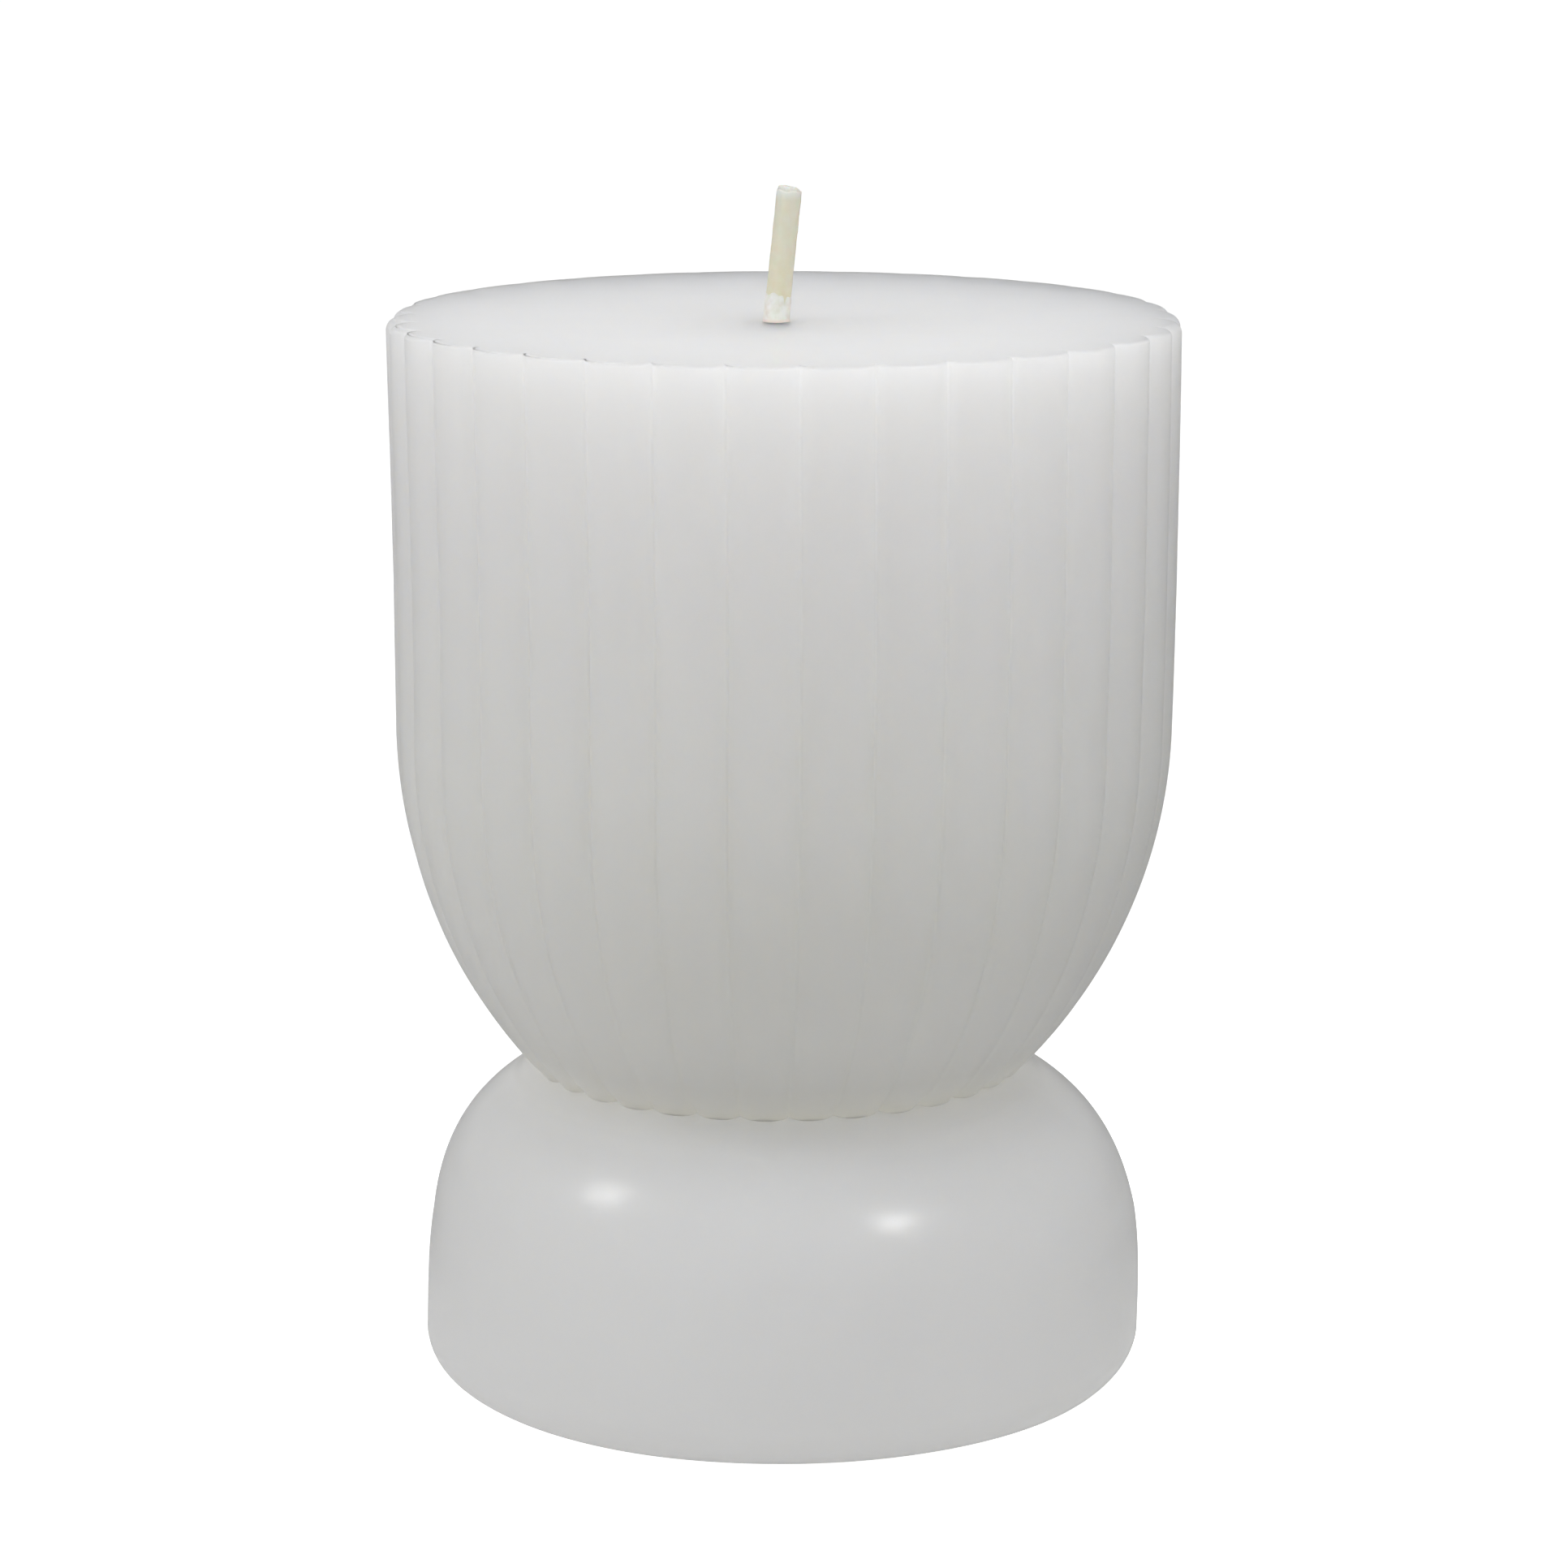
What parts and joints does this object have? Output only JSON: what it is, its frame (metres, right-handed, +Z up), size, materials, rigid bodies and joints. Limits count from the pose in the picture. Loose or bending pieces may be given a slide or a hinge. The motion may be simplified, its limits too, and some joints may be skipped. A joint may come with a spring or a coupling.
{
  "type": "pillar candle",
  "caption": "Solid wax pillar candle: straight ribbed bowl that curves in to a narrow neck, on a smooth domed foot, with one short coated wick.",
  "frame": {"origin": "centre of the base, on the surface that the candle stands on", "axes": "+Z up the candle towards the wick's tip, -Y towards the front, +X to the right, the side that the wick's tip leans to"},
  "size_m": [0.0736, 0.0736, 0.1119],
  "materials": {
    "bowl_wax": "translucent white candle wax, satin",
    "foot_wax": "translucent white candle wax, smooth satin",
    "poured_wax": "poured wax, slightly warmer white",
    "wick_cotton": "braided cotton",
    "wick_wax": "thin cream wax coat",
    "tinplate": "pressed tinplate"
  },
  "bodies": {
    "root": {"fluted_bowl": "bowl_wax", "domed_foot": "foot_wax", "joint_wax": "poured_wax", "wick_braid": "wick_cotton", "wick_coat": "wick_wax", "wick_collar": "bowl_wax", "wick_sustainer": "tinplate", "base_plug": "poured_wax"}
  },
  "joints": []
}
